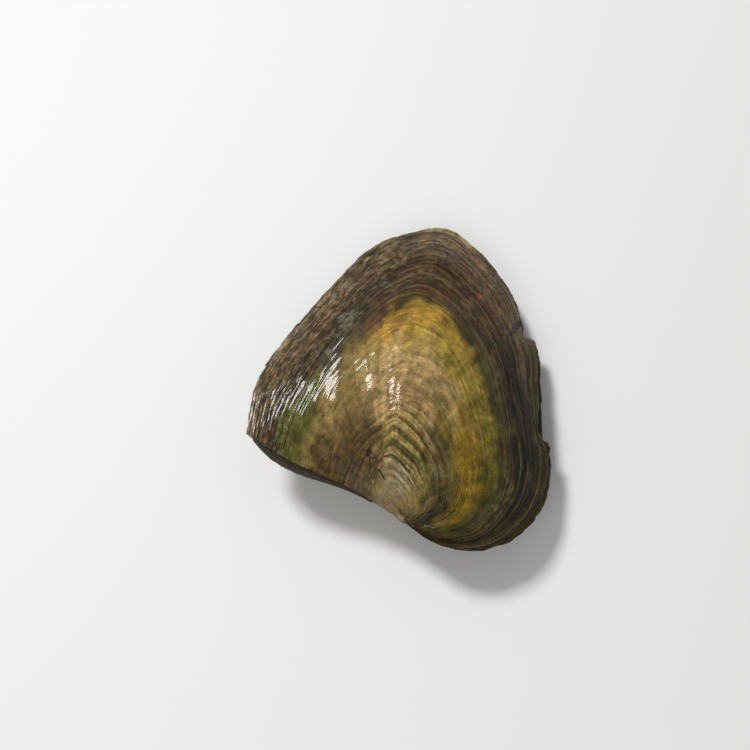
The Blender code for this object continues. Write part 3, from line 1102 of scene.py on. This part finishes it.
def ligament_material():
    """Dark brown fibres with fine cross rings."""
    s = Shade("ligament")
    turn = s.attribute("turn")
    down = s.attribute("down")
    fibres = s.noise(s.vector(s.times(turn, 5), s.times(down, 7), 0), 1, 4, 0.65)
    rings = s.noise(s.vector(s.times(turn, 0.6), s.times(down, 130), 4), 1)
    colour = s.dim(s.zones(fibres, LIGAMENT_ZONES), s.rise(rings, *MOST_NOISE, 0.65, 1.25))
    rough = s.rise(fibres, *MOST_NOISE, 0.3, 0.5)
    normal = s.bump(s.plus(fibres, s.times(rings, 0.6)), 0.0002)
    coat = {"Specular_IOR_Level": 0.2, "Coat_Weight": 0.25, "Coat_Roughness": 0.12}
    return s.surface(colour, rough, normal, **coat)


# --- the stage ---

SKY = 0.3  # the light that comes from all round
BACKDROP = 0.85  # how bright the backdrop low round the shell looks, in the gloss too
BACKDROP_RISE = (0.35, 0.1)  # how far up it ends, and where it is full
FLOOR_CORNERS = ((-9, -9, 0), (9, -9, 0), (9, 9, 0), (-9, 9, 0))
FLOOR_COLOUR = (0.82, 0.82, 0.81, 1)
FLOOR_FADE = (0.12, 0.5)  # it fades into the backdrop between these two distances from the shell
# Lamps that face the shell: name, place, size and power.
LAMPS = (("key", (-0.64, 0.68, 1.16), 0.32, 16.5), ("fill", (-0.48, -0.8, 0.8), 0.8, 3.6))
CAMERA_LOOK = (-0.00762, -0.0004, 0.01636)
CAMERA_ELEVATION = math.radians(69)
CAMERA_DISTANCE = 0.32197
CAMERA_LENS = 47.14
CAMERA_SENSOR = 36


def add_floor():
    """A pale table top that fades into the backdrop far from the shell."""
    mesh = bpy.data.meshes.new("floor")
    mesh.from_pydata(FLOOR_CORNERS, [], [(0, 1, 2, 3)])
    s = Shade("floor")
    s.gloss(Base_Color=FLOOR_COLOUR, Roughness=0.7)
    far = s.node("VectorMath", {0: s.body()}, operation="LENGTH").outputs["Value"]
    fade = s.times(s.rise(far, *FLOOR_FADE), s.seen())
    glow = s.node("Emission", {"Strength": BACKDROP})
    blend = s.node("MixShader", {0: fade, 1: s.shader.outputs[0], 2: glow.outputs[0]})
    s.set(s.tree.nodes["Material Output"], "Surface", blend.outputs[0])
    mesh.materials.append(s.material)
    add_object("floor", mesh)


def add_world():
    """Even light from all round, in which the camera and the gloss see the backdrop low down."""
    world = bpy.data.worlds.new("world")
    world.use_nodes = True
    s = Nodes(world.node_tree)
    direction = s.node("TexCoord", {}).outputs["Generated"]
    up = s.node("SeparateXYZ", {0: direction}).outputs["Z"]
    low = s.rise(up, *BACKDROP_RISE, 0, s.seen())
    strength = s.node("MapRange", {"Value": low, "To Min": SKY, "To Max": BACKDROP})
    background = s.tree.nodes["Background"]
    s.set(background, "Strength", strength.outputs["Result"])
    s.set(background, "Color", (1, 1, 1, 1))
    bpy.context.scene.world = world


def add_aimed(name, data, place, facing):
    """A lamp or a camera at a place, facing one way."""
    holder = add_object(name, data)
    holder.location = place
    holder.rotation_mode = "QUATERNION"
    holder.rotation_quaternion = facing.to_track_quat("-Z", "Y")
    return holder


def add_lamp(name, place, size, power):
    lamp = bpy.data.lights.new(name, "AREA")
    lamp.size = size
    lamp.energy = power
    add_aimed(name, lamp, place, -Vector(place))


def add_camera():
    camera = bpy.data.cameras.new("camera")
    camera.lens = CAMERA_LENS
    camera.sensor_width = CAMERA_SENSOR
    back = Vector((0, -math.cos(CAMERA_ELEVATION), math.sin(CAMERA_ELEVATION)))
    place = Vector(CAMERA_LOOK) + back * CAMERA_DISTANCE
    bpy.context.scene.camera = add_aimed("camera", camera, place, -back)


def stand_in(piece, node):
    """The piece takes the place of a solid."""
    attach(piece, "root")
    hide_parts(node)


def main():
    skin = skin_material()
    nacre = nacre_material()
    upper = add_valve("upper_skin", 1, UPPER_SEED, 0, UPPER_MARKS, skin, nacre)
    stand_in(upper, "upper_valve")
    lower = add_valve("lower_skin", -1, LOWER_SEED, LOWER_OVERHANG, LOWER_MARKS, skin, nacre)
    stand_in(lower, "lower_valve")
    stand_in(add_ligament(ligament_material()), "hinge_ligament")
    add_floor()
    for lamp in LAMPS:
        add_lamp(*lamp)
    add_world()
    bpy.context.scene.view_settings.view_transform = "Standard"
    add_camera()


main()
